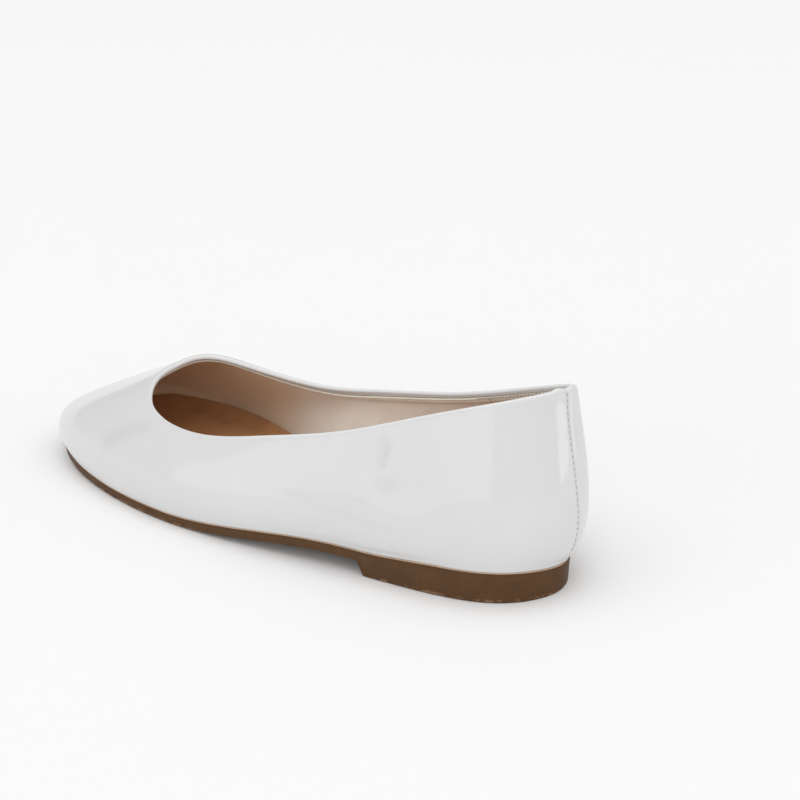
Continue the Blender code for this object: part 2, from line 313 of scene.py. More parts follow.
# A closed sleeve: rows of rings joined all round its section. It faces outwards where the rows
# climb the outside as the columns run from the back along the shoe's outer side.
def makeSleeve(name, rows, material, attributes=None):
    rows = np.asarray(rows)
    faces = ringFaces(len(rows), rows.shape[1], True)
    lengthRound = np.cumsum(np.linalg.norm(rows - np.roll(rows, 1, 1), axis=2), axis=1)
    lengthUp = np.cumsum(np.linalg.norm(rows - np.roll(rows, 1, 0), axis=2), axis=0)
    uvs = np.stack([lengthRound, lengthUp], -1).reshape(-1, 2)
    flat = {key: np.broadcast_to(v, rows.shape[:2]) for key, v in (attributes or {}).items()}
    return makeObject(name, rows.reshape(-1, 3), faces.tolist(), material, uvs, flat)


slabColumns = 24


# A slab: rings from its underside to its top, each end filled across by columns of points that
# are spaced halfway between evenly and by a cosine.
def makeSlab(name, rings, under, over, material, attributes=None):
    rings = np.asarray(rings)
    rows, count = rings.shape[:2]
    points = [rings.reshape(-1, 3)]
    faces = ringFaces(rows, count, False).tolist()
    used = rows * count
    share = np.arange(1, slabColumns) / slabColumns
    share = 0.5 * share + 0.5 * (1 - np.cos(share * math.pi)) / 2
    ends = ((rings[0], 0, under, False), (rings[-1], (rows - 1) * count, over, True))
    for ring, base, height, facingUp in ends:
        outer, inner = ring[1:half], ring[:half:-1][:half - 1]
        inside = outer[:, None] + (inner - outer)[:, None] * share[None, :, None]
        inside[..., 2] = height(inside[..., 0], -inside[..., 1])
        filled = inside.shape[0] * inside.shape[1]
        grid = np.zeros((half + 1, slabColumns + 1), int)
        grid[0], grid[half] = base, base + half
        grid[1:half, 0] = base + np.arange(1, half)
        grid[1:half, -1] = base + count - np.arange(1, half)
        grid[1:half, 1:-1] = used + np.arange(filled).reshape(inside.shape[:2])
        used += filled
        points.append(inside.reshape(-1, 3))
        quads = np.stack([grid[1:-2, :-1], grid[1:-2, 1:], grid[2:-1, 1:], grid[2:-1, :-1]], -1)
        heelFan = np.stack([grid[0, :-1], grid[1, 1:], grid[1, :-1]], -1)
        toeFan = np.stack([grid[-1, :-1], grid[-2, :-1], grid[-2, 1:]], -1)
        for block in (quads.reshape(-1, 4), heelFan, toeFan):
            faces += (block if facingUp else block[:, ::-1]).tolist()
    points = np.concatenate(points)
    uvs = points[:, :2].copy()
    values = {key: fn(points) for key, fn in (attributes or {}).items()}
    return makeObject(name, points, faces, material, uvs, values)


# Shader helpers
def newNode(tree, kind, settings=None, **inputs):
    node = tree.nodes.new(kind)
    for key, value in (settings or {}).items():
        setattr(node, key, value)
    for key, value in inputs.items():
        plug(tree, value, node.inputs[key.replace("_", " ")])
    return node


# Links another node's socket, or sets a number or an opaque colour.
def plug(tree, value, socket):
    if isinstance(value, bpy.types.NodeSocket):
        tree.links.new(value, socket)
    else:
        socket.default_value = (*value, 1) if socket.type == "RGBA" else value


def maths(tree, operation, a, b):
    node = newNode(tree, "ShaderNodeMath", {"operation": operation})
    for value, socket in zip((a, b), node.inputs):
        plug(tree, value, socket)
    return node.outputs[0]


def times(tree, a, b):
    return maths(tree, "MULTIPLY", a, b)


def mixColour(tree, factor, a, b):
    node = newNode(tree, "ShaderNodeMix", {"data_type": "RGBA"})
    for value, socket in ((factor, 0), (a, 6), (b, 7)):  # the colour mix's own sockets
        plug(tree, value, node.inputs[socket])
    return node.outputs[2]


def ramp(tree, value, low, high, toLow=0.0, toHigh=1.0):
    node = newNode(tree, "ShaderNodeMapRange", {"interpolation_type": "SMOOTHSTEP"}, Value=value)
    labels = ("From Min", "From Max", "To Min", "To Max")
    for key, number in zip(labels, (low, high, toLow, toHigh)):
        plug(tree, number, node.inputs[key])
    return node.outputs[0]


def noise(tree, vector, scale, detail, roughness=0.5):
    node = newNode(tree, "ShaderNodeTexNoise", Vector=vector, Scale=scale, Detail=detail,
                   Roughness=roughness)
    return node.outputs["Fac"]


def objectPlace(tree):
    return newNode(tree, "ShaderNodeTexCoord").outputs["Object"]


def readAttribute(tree, name):
    return newNode(tree, "ShaderNodeAttribute", {"attribute_name": name}).outputs["Fac"]


# A node group with named inputs (name, socket type, default) and outputs (name, socket type).
def newGroup(name, inputs, outputs):
    group = bpy.data.node_groups.new(name, "ShaderNodeTree")
    for label, kind, default in inputs:
        socket = group.interface.new_socket(label, in_out="INPUT", socket_type=kind)
        socket.default_value = default
    for label, kind in outputs:
        group.interface.new_socket(label, in_out="OUTPUT", socket_type=kind)
    return group, group.nodes.new("NodeGroupInput"), group.nodes.new("NodeGroupOutput")


def useGroup(tree, group, **inputs):
    return newNode(tree, "ShaderNodeGroup", {"node_tree": group}, **inputs)


# Soft colour drift: two sizes of noise push the colour toward a second tone.
def driftGroup():
    group, source, result = newGroup(
        "colour drift",
        [("Tone", "NodeSocketColor", (1, 1, 1, 1)),
         ("Second Tone", "NodeSocketColor", (1, 1, 1, 1)),
         ("Size", "NodeSocketFloat", 0.02), ("Amount", "NodeSocketFloat", 0.5)],
        [("Colour", "NodeSocketColor")])
    inverse = maths(group, "DIVIDE", 1.0, source.outputs["Size"])
    place = objectPlace(group)
    wide = noise(group, place, inverse, 2.0)
    fineness, wideShare, rampLow, rampHigh = 5.3, 0.65, 0.35, 0.65
    fine = noise(group, place, times(group, inverse, fineness), 4.0, 0.6)
    both = maths(group, "ADD", times(group, wide, wideShare), times(group, fine, 1 - wideShare))
    share = times(group, ramp(group, both, rampLow, rampHigh), source.outputs["Amount"])
    group.links.new(mixColour(group, share, source.outputs["Tone"], source.outputs["Second Tone"]),
                    result.inputs["Colour"])
    return group


# Leather grain: small cells and finer noise, as a bumped normal.
def grainGroup():
    group, source, result = newGroup(
        "leather grain",
        [("Cell Size", "NodeSocketFloat", 0.0006), ("Depth", "NodeSocketFloat", 0.00003),
         ("Wave Size", "NodeSocketFloat", 0.01), ("Wave Depth", "NodeSocketFloat", 0.00001)],
        [("Normal", "NodeSocketVector"), ("Height", "NodeSocketFloat")])
    place = objectPlace(group)
    scale = maths(group, "DIVIDE", 1.0, source.outputs["Cell Size"])
    fineness, cellShare = 0.45, 0.5
    cells = newNode(group, "ShaderNodeTexVoronoi", {"feature": "SMOOTH_F1"},
                    Vector=place, Scale=scale).outputs["Distance"]
    fine = noise(group, place, times(group, scale, fineness), 3.0, 0.55)
    cellsAndFine = maths(group, "ADD", times(group, cells, cellShare), fine)
    grain = times(group, cellsAndFine, source.outputs["Depth"])
    wave = noise(group, place, maths(group, "DIVIDE", 1.0, source.outputs["Wave Size"]), 2.0)
    height = maths(group, "ADD", grain, times(group, wave, source.outputs["Wave Depth"]))
    node = newNode(group, "ShaderNodeBump", Height=height, Distance=1.0, Strength=1.0)
    group.links.new(node.outputs["Normal"], result.inputs["Normal"])
    group.links.new(height, result.inputs["Height"])
    return group


# Dust and handling marks: a mask that gathers low on the shoe and in patches.
def dustGroup():
    group, source, result = newGroup(
        "dust",
        [("Low", "NodeSocketFloat", 0.004), ("High", "NodeSocketFloat", 0.014),
         ("Amount", "NodeSocketFloat", 0.3)],
        [("Mask", "NodeSocketFloat")])
    place = objectPlace(group)
    height = newNode(group, "ShaderNodeSeparateXYZ", Vector=place).outputs["Z"]
    near = ramp(group, height, source.outputs["Low"], source.outputs["High"], 1.0, 0.0)
    patchScale, patchLow, patchHigh = 240.0, 0.42, 0.68
    patches = ramp(group, noise(group, place, patchScale, 5.0, 0.65), patchLow, patchHigh)
    mask = times(group, times(group, near, patches), source.outputs["Amount"])
    group.links.new(mask, result.inputs["Mask"])
    return group


drift = driftGroup()
grain = grainGroup()
dust = dustGroup()


def newMaterial(name, **inputs):
    material = bpy.data.materials.new(name)
    material.use_nodes = True
    tree = material.node_tree
    shader = tree.nodes["Principled BSDF"]
    for key, value in inputs.items():
        plug(tree, value, shader.inputs[key.replace("_", " ")])
    return material, tree, shader


# The two tones of a piece, drifting into each other at a size and by an amount.
def driftColour(tree, values, size, amount):
    return useGroup(tree, drift, Tone=values["colour"], Second_Tone=values["secondColour"],
                    Size=size, Amount=amount).outputs["Colour"]


def setColour(tree, shader, colour):
    tree.links.new(colour, shader.inputs["Base Color"])


def setGrain(tree, shader, **values):
    relief = useGroup(tree, grain, **values)
    tree.links.new(relief.outputs["Normal"], shader.inputs["Normal"])


def driftMaterial(name, values, size, amount, **inputs):
    material, tree, shader = newMaterial(name, **inputs)
    setColour(tree, shader, driftColour(tree, values, size, amount))
    return material


print("helpers ready")


# Upper: patent skin
# One closed sleeve of white patent: turned-in margin, round feather edge, wall, rolled
# topline and the folded edge inside it, then back down behind the skin.
patent = {
    "skin": 0.0009, "wall": 0.0018,
    "marginInsets": (0.0058, 0.0036), "turnRows": 9, "turnFullness": 0.76,
    "wallRows": 64, "footFade": 0.06, "topFade": 0.03,  # shares of the height without creases
    "rollDepth": 0.0022, "rollOut": 0.0011, "rollIn": 0.0011, "rollDrop": 0.0008,
    "rollGap": 0.0004, "rollRows": 9, "tuckRows": 7,
    "foldDepth": 0.0025, "foldHeelLess": 0.0007, "foldThroatMore": 0.0003,
    "foldHeelEnd": 0.045, "foldThroatStart": 0.150,
    "foldShape": ((0.55, 1.0), (0.85, 0.97), (0.96, 0.92), (1.0, 0.80)),  # depth, then width
    "lipSkins": 1.4, "lipDepth": 0.0006,
    "backStart": 10, "backStep": 3, "backInset": 0.0012,
    # The painted highlight on the roll's crest fades over these angles, outside and inside.
    "highlightOutside": (30, 70), "highlightInside": (20, 70),  # degrees round the roll
    "seamMark": 0.0004, "seamColour": (0.45, 0.44, 0.43), "seamAmount": 0.35,
    "colour": (0.665, 0.665, 0.665),
    "secondColour": (0.64, 0.64, 0.642),
    "dirtColour": (0.52, 0.47, 0.41),
    # Painted highlight colour for the roll's crest, and how far it is mixed in.
    "crestHighlightColour": (0.82, 0.82, 0.82), "crestHighlightAmount": 0.8,
    # Painted shade colour for the troughs.
    "creaseShadeColour": (0.50, 0.50, 0.505),
}

# Back seam: its side at the foot, how far it leans inward by the top and how late it does so,
# then the groove, and the ridge of the turned allowance on its inner side.
backSeam = {
    "footSide": 0.0012, "lean": 0.0063, "leanHeight": 0.0644, "leanPower": 2.5, "reach": 0.016,
    "grooveDepth": 0.00022, "grooveWidth": 0.00040,
    "ridgeHeight": 0.00028, "ridgeWidth": 0.0013, "ridgeSide": 0.0019,
    "puckerRise": 0.0005, "puckerSide": 0.0027, "puckerWidth": 0.0015,
    "notchDepth": 0.0004, "notchWidth": 0.0006, "puckerDrop": 0.004,
}

# Soft troughs (minus) and ridges (plus) placed in the shoe's own box: two ends,
# width and depth of each, and how far its trough is darkened with painted shade.
creases = (
    # name, start, end, width, depth, shade
    ("quarter dimple", (0.0256, 0.0690, 0.0460), (0.0280, 0.0680, 0.0412), 0.0028, -0.00044, 0.24),
    ("dimple edge", (0.0262, 0.0745, 0.0450), (0.0288, 0.0722, 0.0372), 0.0034, 0.00046, 0),
    ("quarter hollow", (0.0310, 0.0760, 0.0330), (0.0295, 0.0850, 0.0350), 0.0075, -0.00045, 0.05),
    ("heel swell", (0.0225, 0.0860, 0.0520), (0.0190, 0.1000, 0.0450), 0.0080, 0.00025, 0),
    ("waist fold", (0.0350, 0.0330, 0.0240), (0.0322, 0.0760, 0.0205), 0.0018, -0.00016, 0.10),
    ("vamp dent", (0.0335, -0.0590, 0.0235), (0.0305, -0.0410, 0.0315), 0.0044, -0.00062, 0.28),
    ("vamp lip", (0.0348, -0.0590, 0.0200), (0.0328, -0.0400, 0.0280), 0.0022, 0.00036, 0),
    ("toe flat", (0.0100, -0.1120, 0.0230), (0.0240, -0.1000, 0.0215), 0.0090, -0.00030, 0),
)


creaseShadeWidth = 0.8  # of the trough's own width


# Depth of the troughs and ridges at each point, and the painted shade in the troughs: a bell of the
# distance to each line.
def creaseForms(points):
    depth, shade = np.zeros(points.shape[:-1]), np.zeros(points.shape[:-1])
    for _, start, end, width, amount, dark in creases:
        start, end = np.array(start) + shoeCentre, np.array(end) + shoeCentre
        run = end - start
        share = np.clip(((points - start) @ run) / (run @ run), 0, 1)
        distance = np.linalg.norm(points - start - share[..., None] * run, axis=-1)
        depth += amount * bump(distance, width)
        shade += dark * bump(distance, creaseShadeWidth * width)
    return depth, shade


# Side of the back seam at a height: straight up from the foot, then leaning by a power curve.
def seamSide(height):
    share = np.clip(height / backSeam["leanHeight"], 0, 1.1)
    return shoeCentre[0] + backSeam["footSide"] - backSeam["lean"] * share ** backSeam["leanPower"]


# Signed distance from the back seam, plus on the outer side; far off in front of the heel.
def seamDistance(points):
    front = np.where(points[..., 1] < -backSeam["reach"], 1.0, 0.0)
    return points[..., 0] - seamSide(points[..., 2]) + front


def backSeamDepth(points):
    distance = seamDistance(points)
    groove = -backSeam["grooveDepth"] * bump(distance, backSeam["grooveWidth"])
    ridge = bump(distance + backSeam["ridgeSide"], backSeam["ridgeWidth"])
    return groove + backSeam["ridgeHeight"] * ridge


def upperShell():
    shares = np.linspace(0, 1, patent["wallRows"])
    wall, lean, out = wallSurface(places, shares)
    normals = gridNormals(wall)
    fade = smoothstep(shares / patent["footFade"]) * smoothstep((1 - shares) / patent["topFade"])
    depth = creaseForms(wall)[0] * fade[:, None] + backSeamDepth(wall)
    wall = wall + normals * depth[..., None]
    return wall, gridNormals(wall), unit(lean), out


wallPoints, wallNormals, footLean, footOut = upperShell()
wallSteps = np.linalg.norm(np.diff(wallPoints, axis=0), axis=2)
wallLength = wallSteps.sum(0)
lengthDown = np.concatenate([np.zeros((1, ringCount)), np.cumsum(wallSteps[::-1], axis=0)])


# Points at a depth below the topline on the wall, and their normals, by length down the wall:
# in each column the last row above the depth, and a share of the way to the next.
def belowTop(depth):
    low = np.clip((lengthDown <= depth).sum(0) - 1, 0, len(lengthDown) - 2)
    columns = np.arange(ringCount)
    start, end = lengthDown[low, columns], lengthDown[low + 1, columns]
    share = np.clip((depth - start) / (end - start), 0, 1)[:, None]
    points, normals = wallPoints[::-1], wallNormals[::-1]
    point = points[low, columns] * (1 - share) + points[low + 1, columns] * share
    normal = unit(normals[low, columns] * (1 - share) + normals[low + 1, columns] * share)
    return point, normal


def insidePoint(depth, offset):
    point, normal = belowTop(depth)
    return point - normal * np.reshape(offset, (-1, 1))


# The folded edge is narrower round the heel and wider at the throat, by the place along.
def foldShift():
    along = -wallPoints[-1][:, 1]
    share = between(along, patent["foldHeelEnd"], patent["foldThroatStart"])
    return -patent["foldHeelLess"] * (1 - share) + patent["foldThroatMore"] * share


foldChange = foldShift()


# Where the folded edge is bunched at the back seam: a lump beside it and a notch on it, fading
# out below the top.
def puckerRise(points, topHeight):
    distance = seamDistance(points)
    lump = backSeam["puckerRise"] * bump(distance - backSeam["puckerSide"], backSeam["puckerWidth"])
    notch = backSeam["notchDepth"] * bump(distance, backSeam["notchWidth"])
    return (lump - notch) * smoothstep(1 - (topHeight - points[..., 2]) / backSeam["puckerDrop"])


rollAngles = np.linspace(0, 90, patent["rollRows"])
tuckAngles = np.linspace(0, 90, patent["tuckRows"] + 1)[1:]


# Foot, wall and roll: a quarter ellipse leans over the top from the outside and a tighter one
# drops inside, then the fold hangs to its raw edge and the sleeve comes back behind the skin.
def patentRows():
    p = patent
    inward = last["featherRound"]
    foot = wallPoints[0]
    rows = [seatRing(inset) for inset in (last["lastingMargin"], *p["marginInsets"])]
    turn = seatRing(inward)
    reach = p["turnFullness"] * inward
    for t in np.linspace(0, 1, p["turnRows"], endpoint=False):
        rows.append(bezier(turn, turn + reach * footOut, foot - reach * footLean, foot, t))
    wallEnd = p["rollDepth"] + p["rollGap"]
    for share in np.linspace(0, 1, p["wallRows"]):
        rows.append(belowTop(wallLength + (wallEnd - wallLength) * share)[0])
    base, normal = belowTop(p["rollDepth"])
    rise = belowTop(0.0)[0] - base
    for angle in np.radians(rollAngles):
        rows.append(base - p["rollOut"] * (1 - math.cos(angle)) * normal + math.sin(angle) * rise)
    crest = rows[-1]
    for angle in np.radians(tuckAngles):
        rows.append(crest - p["rollIn"] * math.sin(angle) * normal
                    - p["rollDrop"] * (1 - math.cos(angle)) * unit(rise))
    depth = p["foldDepth"] + foldChange
    width = p["rollOut"] + p["rollIn"]
    for share, narrow in p["foldShape"]:
        rows.append(insidePoint(p["rollDrop"] + share * (depth - p["rollDrop"]), width * narrow))
    rows.append(insidePoint(depth, p["skin"] * p["lipSkins"]))
    rows.append(insidePoint(depth + p["lipDepth"], p["skin"]))
    back = wallPoints - wallNormals * p["skin"]
    rows += list(back[p["wallRows"] - p["backStart"]::-p["backStep"]])
    for inset in (inward + p["backInset"], last["lastingMargin"]):
        rows.append(seatRing(inset, p["skin"]))
    rows = np.array(rows)
    rows[..., 2] += puckerRise(rows, crest[:, 2])
    return rows


# Mask of the painted highlight: one along the roll's crest, fading down its outside and its inside.
def crestHighlightMarks(count):
    marks = np.zeros((count, 1))
    start = 1 + len(patent["marginInsets"]) + patent["turnRows"] + patent["wallRows"]
    top = start + len(rollAngles)
    marks[start:top, 0] = between(rollAngles, *patent["highlightOutside"])
    marks[top:top + len(tuckAngles), 0] = 1 - between(tuckAngles, *patent["highlightInside"])
    return marks


def patentMaterial():
    material, tree, shader = newMaterial(
        "white patent", Roughness=0.35, IOR=1.5, Specular_IOR_Level=0.18,
        Coat_Weight=0.8, Coat_Roughness=0.035, Coat_IOR=1.48)
    dirt = useGroup(tree, dust, Low=0.004, High=0.016, Amount=0.10).outputs["Mask"]
    base = mixColour(tree, dirt, driftColour(tree, patent, 0.05, 0.5), patent["dirtColour"])
    seam = times(tree, readAttribute(tree, "seam"), patent["seamAmount"])
    base = mixColour(tree, seam, base, patent["seamColour"])
    # Painted shade: the troughs are mixed toward the darker trough colour.
    base = mixColour(tree, readAttribute(tree, "paintedTroughShade"), base, patent["creaseShadeColour"])
    # Painted highlight: the roll's crest is mixed toward the pale crest colour.
    crest = times(tree, readAttribute(tree, "crest"), patent["crestHighlightAmount"])
    setColour(tree, shader, mixColour(tree, crest, base, patent["crestHighlightColour"]))
    setGrain(tree, shader, Cell_Size=0.0009, Depth=0.000003, Wave_Size=0.014, Wave_Depth=0.00005)
    return material


def buildPatent():
    rows = patentRows()
    marks = {"seam": bump(seamDistance(rows), patent["seamMark"]),
             "crest": crestHighlightMarks(len(rows)), "paintedTroughShade": creaseForms(rows)[1]}
    item = makeSleeve("patent_upper", rows, patentMaterial(), marks)
    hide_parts("upper")


buildPatent()
print("patent upper done")


# Upper: lining
# A second sleeve inside the skin: the tape's ridge under the folded edge, then the plain
# lining down to the margin. The heel grip stands a little proud behind its seam.
lining = {
    "ridgeDepths": (0.0027, 0.0030, 0.0034, 0.0040, 0.0045, 0.0050, 0.0058),
    "ridgeWalls": (0.00200, 0.00240, 0.00262, 0.00262, 0.00235, 0.00198, 0.00186),
    "plainDepth": 0.0058, "plainRows": 44, "firstShare": 0.02, "clearance": 0.00002,
    "gripAlong": 0.0444, "gripStep": 0.00022, "gripEdge": 0.0006,
    "turnInset": 0.0012, "turnBlend": 0.65, "turnSink": 0.0001, "marginLess": 0.001,
    "backGap": 0.0001, "backShares": (0.98, 0.7, 0.4, 0.15), "topGap": 0.0002,
    "colour": (0.83, 0.75, 0.665),
    "secondColour": (0.77, 0.68, 0.585),
    "vampColour": (0.85, 0.67, 0.50), "vampStart": -0.008, "vampEnd": -0.048,
}


def liningRows():
    s = lining
    plain, inner, back = s["plainDepth"], patent["wall"], patent["skin"] + s["backGap"]
    rows = [insidePoint(depth + foldChange, wall)
            for depth, wall in zip(s["ridgeDepths"], s["ridgeWalls"])]
    for share in np.linspace(s["firstShare"], 1, s["plainRows"]):
        point, normal = belowTop(plain + share * (wallLength - plain))
        grip = s["gripStep"] * smoothstep((s["gripAlong"] + point[:, 1]) / s["gripEdge"])
        rows.append(point - normal * (inner + s["clearance"] + grip)[:, None])
    turned, margin = inner + s["turnInset"], last["lastingMargin"] - s["marginLess"]
    turnIn = seatRing(turned, inner)
    blend = s["turnBlend"]
    rows.append((1 - blend) * rows[-1] + blend * turnIn - s["turnSink"] * upward)
    rows += [turnIn, seatRing(margin, inner), seatRing(margin, back), seatRing(turned, back)]
    for share in s["backShares"]:
        rows.append(insidePoint(plain + share * (wallLength - plain), back))
    rows.append(insidePoint(s["ridgeDepths"][0] + s["topGap"] + foldChange, back))
    return np.array(rows)


def liningMaterial():
    material, tree, shader = newMaterial("beige lining", Roughness=0.68, IOR=1.45)
    along = newNode(tree, "ShaderNodeSeparateXYZ", Vector=objectPlace(tree)).outputs["Y"]
    front = ramp(tree, along, lining["vampEnd"], lining["vampStart"], 1.0, 0.0)
    colour = driftColour(tree, lining, 0.012, 0.7)
    setColour(tree, shader, mixColour(tree, front, colour, lining["vampColour"]))
    setGrain(tree, shader, Cell_Size=0.0007, Depth=0.00006, Wave_Size=0.008, Wave_Depth=0.00006)
    return material


def buildLining():
    item = makeSleeve("lining", liningRows(), liningMaterial())
    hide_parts("upper")


buildLining()
print("lining done")


# Topline cord: the cream edge that shows under the fold, waisted at each stitch.
toplineCord = {"depth": 0.0028, "wall": 0.0025, "radius": 0.00042, "sides": 8, "step": 0.0004,
               "pitch": 0.0017, "waist": 0.22, "waistPower": 6,
               "colour": (0.86, 0.80, 0.70), "secondColour": (0.76, 0.68, 0.57)}


# A round tube along a closed path: circles across the direction of travel.
def closedTube(path, radius, sides):
    ahead = unit(np.roll(path, -1, 0) - np.roll(path, 1, 0))
    across = unit(np.cross(ahead, upward))
    over = np.cross(ahead, across)
    turn = np.linspace(0, 2 * math.pi, sides, endpoint=False)
    radius = np.reshape(radius, (-1, 1))
    return np.array([path + radius * (math.cos(a) * across + math.sin(a) * over) for a in turn])


# Points at even steps along a closed path, and how far along it each is.
def evenPath(path, step):
    closed = np.vstack([path, path[:1]])
    run = np.concatenate([[0], np.cumsum(np.linalg.norm(np.diff(closed, axis=0), axis=1))])
    at = np.linspace(0, run[-1], int(run[-1] / step), endpoint=False)
    return np.column_stack([np.interp(at, run, closed[:, k]) for k in range(3)]), at


def buildCord():
    c = toplineCord
    path, run = evenPath(insidePoint(c["depth"] + foldChange, c["wall"]), c["step"])
    waist = 1 - c["waist"] * np.abs(np.cos(math.pi * run / c["pitch"])) ** c["waistPower"]
    rows = closedTube(path, c["radius"] * waist, c["sides"])
    material = driftMaterial("cream edge", c, 0.006, 0.6, Roughness=0.6)
    item = makeSleeve("topline_cord", rows, material)


buildCord()
print("topline cord done")


# Insole
# The sock: a thin padded slab whose edge curls up against the lining and thins at the toe.
sock = {
    "thickness": 0.0045, "curl": 0.0030, "curlWidth": 0.009,
    "toeShare": 0.4, "thinStart": 0.86, "thinEnd": 0.97, "round": 0.0006,
    "roundAngles": (30, 60, 90), "curlShares": (0.25, 0.4, 0.55, 0.7, 0.85, 1.0),
    "colour": (0.47, 0.245, 0.112), "secondColour": (0.38, 0.185, 0.082),
}


# Shares of the thickness and of the curl that are left at a place along the shoe.
def sockFullness(along):
    thinning = between(along / last["length"], sock["thinStart"], sock["thinEnd"])
    return 1 - (1 - sock["toeShare"]) * thinning, 1 - thinning


def sockSurface(x, y):
    under = treadHeight(y) + sole["thickness"] + patent["wall"] + 2 * gap
    return under + sock["thickness"] * sockFullness(y)[0]


def sockCrest(x, y, share=1.0):
    return sockSurface(x, y) + share * sock["curl"] * sockFullness(y)[1]


def sockMaterial():
    material, tree, shader = newMaterial("tan sock", Roughness=0.55, IOR=1.45)
    setColour(tree, shader, driftColour(tree, sock, 0.014, 0.8))
    setGrain(tree, shader, Cell_Size=0.0010, Depth=0.00005, Wave_Size=0.015, Wave_Depth=0.00010)
    return material


# Top of the turned-in margin, which the sock's edge lies on.
def sockLedge(x, y):
    return soleTop(x, y) + patent["wall"] + 2 * gap


def buildSock():
    edge, middle, r = patent["wall"] + 2 * gap, last["lastingMargin"] + 2 * gap, sock["round"]
    rings = [rim(places, middle, seatHeight), rim(places, middle, sockLedge),
             rim(places, edge, sockLedge), rim(places, edge, lambda x, y: sockCrest(x, y) - r)]
    for angle in np.radians(sock["roundAngles"]):
        inset, drop = edge + r * (1 - math.cos(angle)), r * (1 - math.sin(angle))
        rings.append(rim(places, inset, lambda x, y, drop=drop: sockCrest(x, y) - drop))
    for share in sock["curlShares"]:
        inset, left = edge + share * sock["curlWidth"], (1 - share) ** 2
        rings.append(rim(places, inset, lambda x, y, left=left: sockCrest(x, y, left)))
    item = makeSlab("tan_sock", rings, seatHeight, sockSurface, sockMaterial())
    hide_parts("insole")


buildSock()
print("sock done")


# Outsole
# Moulded unit: round tread edge, drafted sides, heel block with a round-cornered breast.
unitSole = {
    "edgeRound": 0.0007, "edgeAngles": (0, 22, 45, 68, 90),
    "sideShares": (0.12, 0.3, 0.5, 0.7, 0.88, 1.0),
    "topRound": 0.5, "topAngles": (30, 60, 90), "sharpAngle": 40, "underSlack": 0.0001,
    "colour": (0.101, 0.050, 0.021), "secondColour": (0.080, 0.038, 0.015),
    "edgeBandColour": (0.25, 0.15, 0.085), "edgeBandLow": 0.0007, "edgeBandHigh": 0.0017,
    "spotScale": 420.0, "spotLow": 0.44, "spotHigh": 0.62,
    "treadPitch": 0.0042, "treadDepth": 0.00025,
}


def underHeel(along):
    return along < sole["heelLength"] + touching


def levelGround(x, along):
    return 0 * x


# Height of the tread: the floor under the heel block, with its front corner rounded.
def treadUnder(x, along):
    r = sole["breastRound"]
    into = np.clip(along - (sole["heelLength"] - r), 0, r)
    corner = r - np.sqrt(np.maximum(r * r - into * into, 0))
    return np.where(underHeel(along), corner, treadHeight(along))


# Rubber, paler in spots in a band just over the ground edge, with a fine ribbed tread underneath.
def soleMaterial():
    s = unitSole
    material, tree, shader = newMaterial("brown rubber", Roughness=0.55, IOR=1.48,
                                         Specular_IOR_Level=0.16)
    place = objectPlace(tree)
    under = readAttribute(tree, "under")
    height = newNode(tree, "ShaderNodeSeparateXYZ", Vector=place).outputs["Z"]
    rising = ramp(tree, height, 0.5 * s["edgeBandLow"], s["edgeBandLow"])
    falling = ramp(tree, height, s["edgeBandLow"], s["edgeBandHigh"], 1.0, 0.0)
    spots = ramp(tree, noise(tree, place, s["spotScale"], 4.0, 0.6), s["spotLow"], s["spotHigh"])
    sides = maths(tree, "SUBTRACT", 1.0, under)
    edgeBand = times(tree, times(tree, rising, falling), times(tree, spots, sides))
    colour = driftColour(tree, s, 0.010, 0.8)
    setColour(tree, shader, mixColour(tree, edgeBand, colour, s["edgeBandColour"]))
    rubber = useGroup(tree, grain, Cell_Size=0.0006, Depth=0.00004, Wave_Size=0.006,
                      Wave_Depth=0.00008).outputs["Height"]
    wave = newNode(tree, "ShaderNodeTexWave", {"bands_direction": "Y"}, Vector=place,
                   Scale=math.pi / (10 * s["treadPitch"]), Distortion=1.2, Detail=1.0)
    ribs = times(tree, times(tree, wave.outputs["Fac"], under), s["treadDepth"])
    relief = newNode(tree, "ShaderNodeBump", Height=maths(tree, "ADD", rubber, ribs),
                     Distance=1.0, Strength=1.0)
    tree.links.new(relief.outputs["Normal"], shader.inputs["Normal"])
    return material


# One on the underside and none on the sides, by the height over the tread.
def underside(points):
    tread = treadUnder(points[:, 0], -points[:, 1])
    return np.where(points[:, 2] < tread + unitSole["underSlack"], 1.0, 0.0)


def buildSole():
    s, edge, r = unitSole, sole["inset"], unitSole["edgeRound"]
    plan, _ = featherEdge(places)
    tread = treadUnder(plan[:, 0], plan[:, 1])
    taper = np.where(underHeel(plan[:, 1]), sole["heelTaper"], 0.0)
    rings = []
    for angle in np.radians(s["edgeAngles"]):
        ring = rim(places, edge + taper + r * (1 - math.sin(angle)), levelGround)
        ring[:, 2] = tread + r * (1 - math.cos(angle))
        rings.append(ring)
    low = rings[-1][:, 2]
    high = rim(places, edge, lambda x, y: soleTop(x, y) - r)[:, 2]
    for share in s["sideShares"]:
        ring = rim(places, edge + taper * (1 - share), levelGround)
        ring[:, 2] = low + share * (high - low)
        rings.append(ring)
    for angle in np.radians(s["topAngles"]):
        inset, drop = edge + s["topRound"] * r * (1 - math.cos(angle)), r * (1 - math.sin(angle))
        rings.append(rim(places, inset, lambda x, y, drop=drop: soleTop(x, y) - drop))
    item = makeSlab("brown_sole", rings, treadUnder, soleTop, soleMaterial(), {"under": underside})
    item.data.set_sharp_from_angle(angle=math.radians(s["sharpAngle"]))
    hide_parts("outsole")


buildSole()
print("sole done")


# Pale edge line, where the upper's turned edge meets the sole.
edgeLine = {"radius": 0.00024, "inset": 0.00145, "lift": 0.00018, "sides": 8, "step": 0.001,
            "colour": (0.56, 0.39, 0.27), "secondColour": (0.40, 0.27, 0.18)}


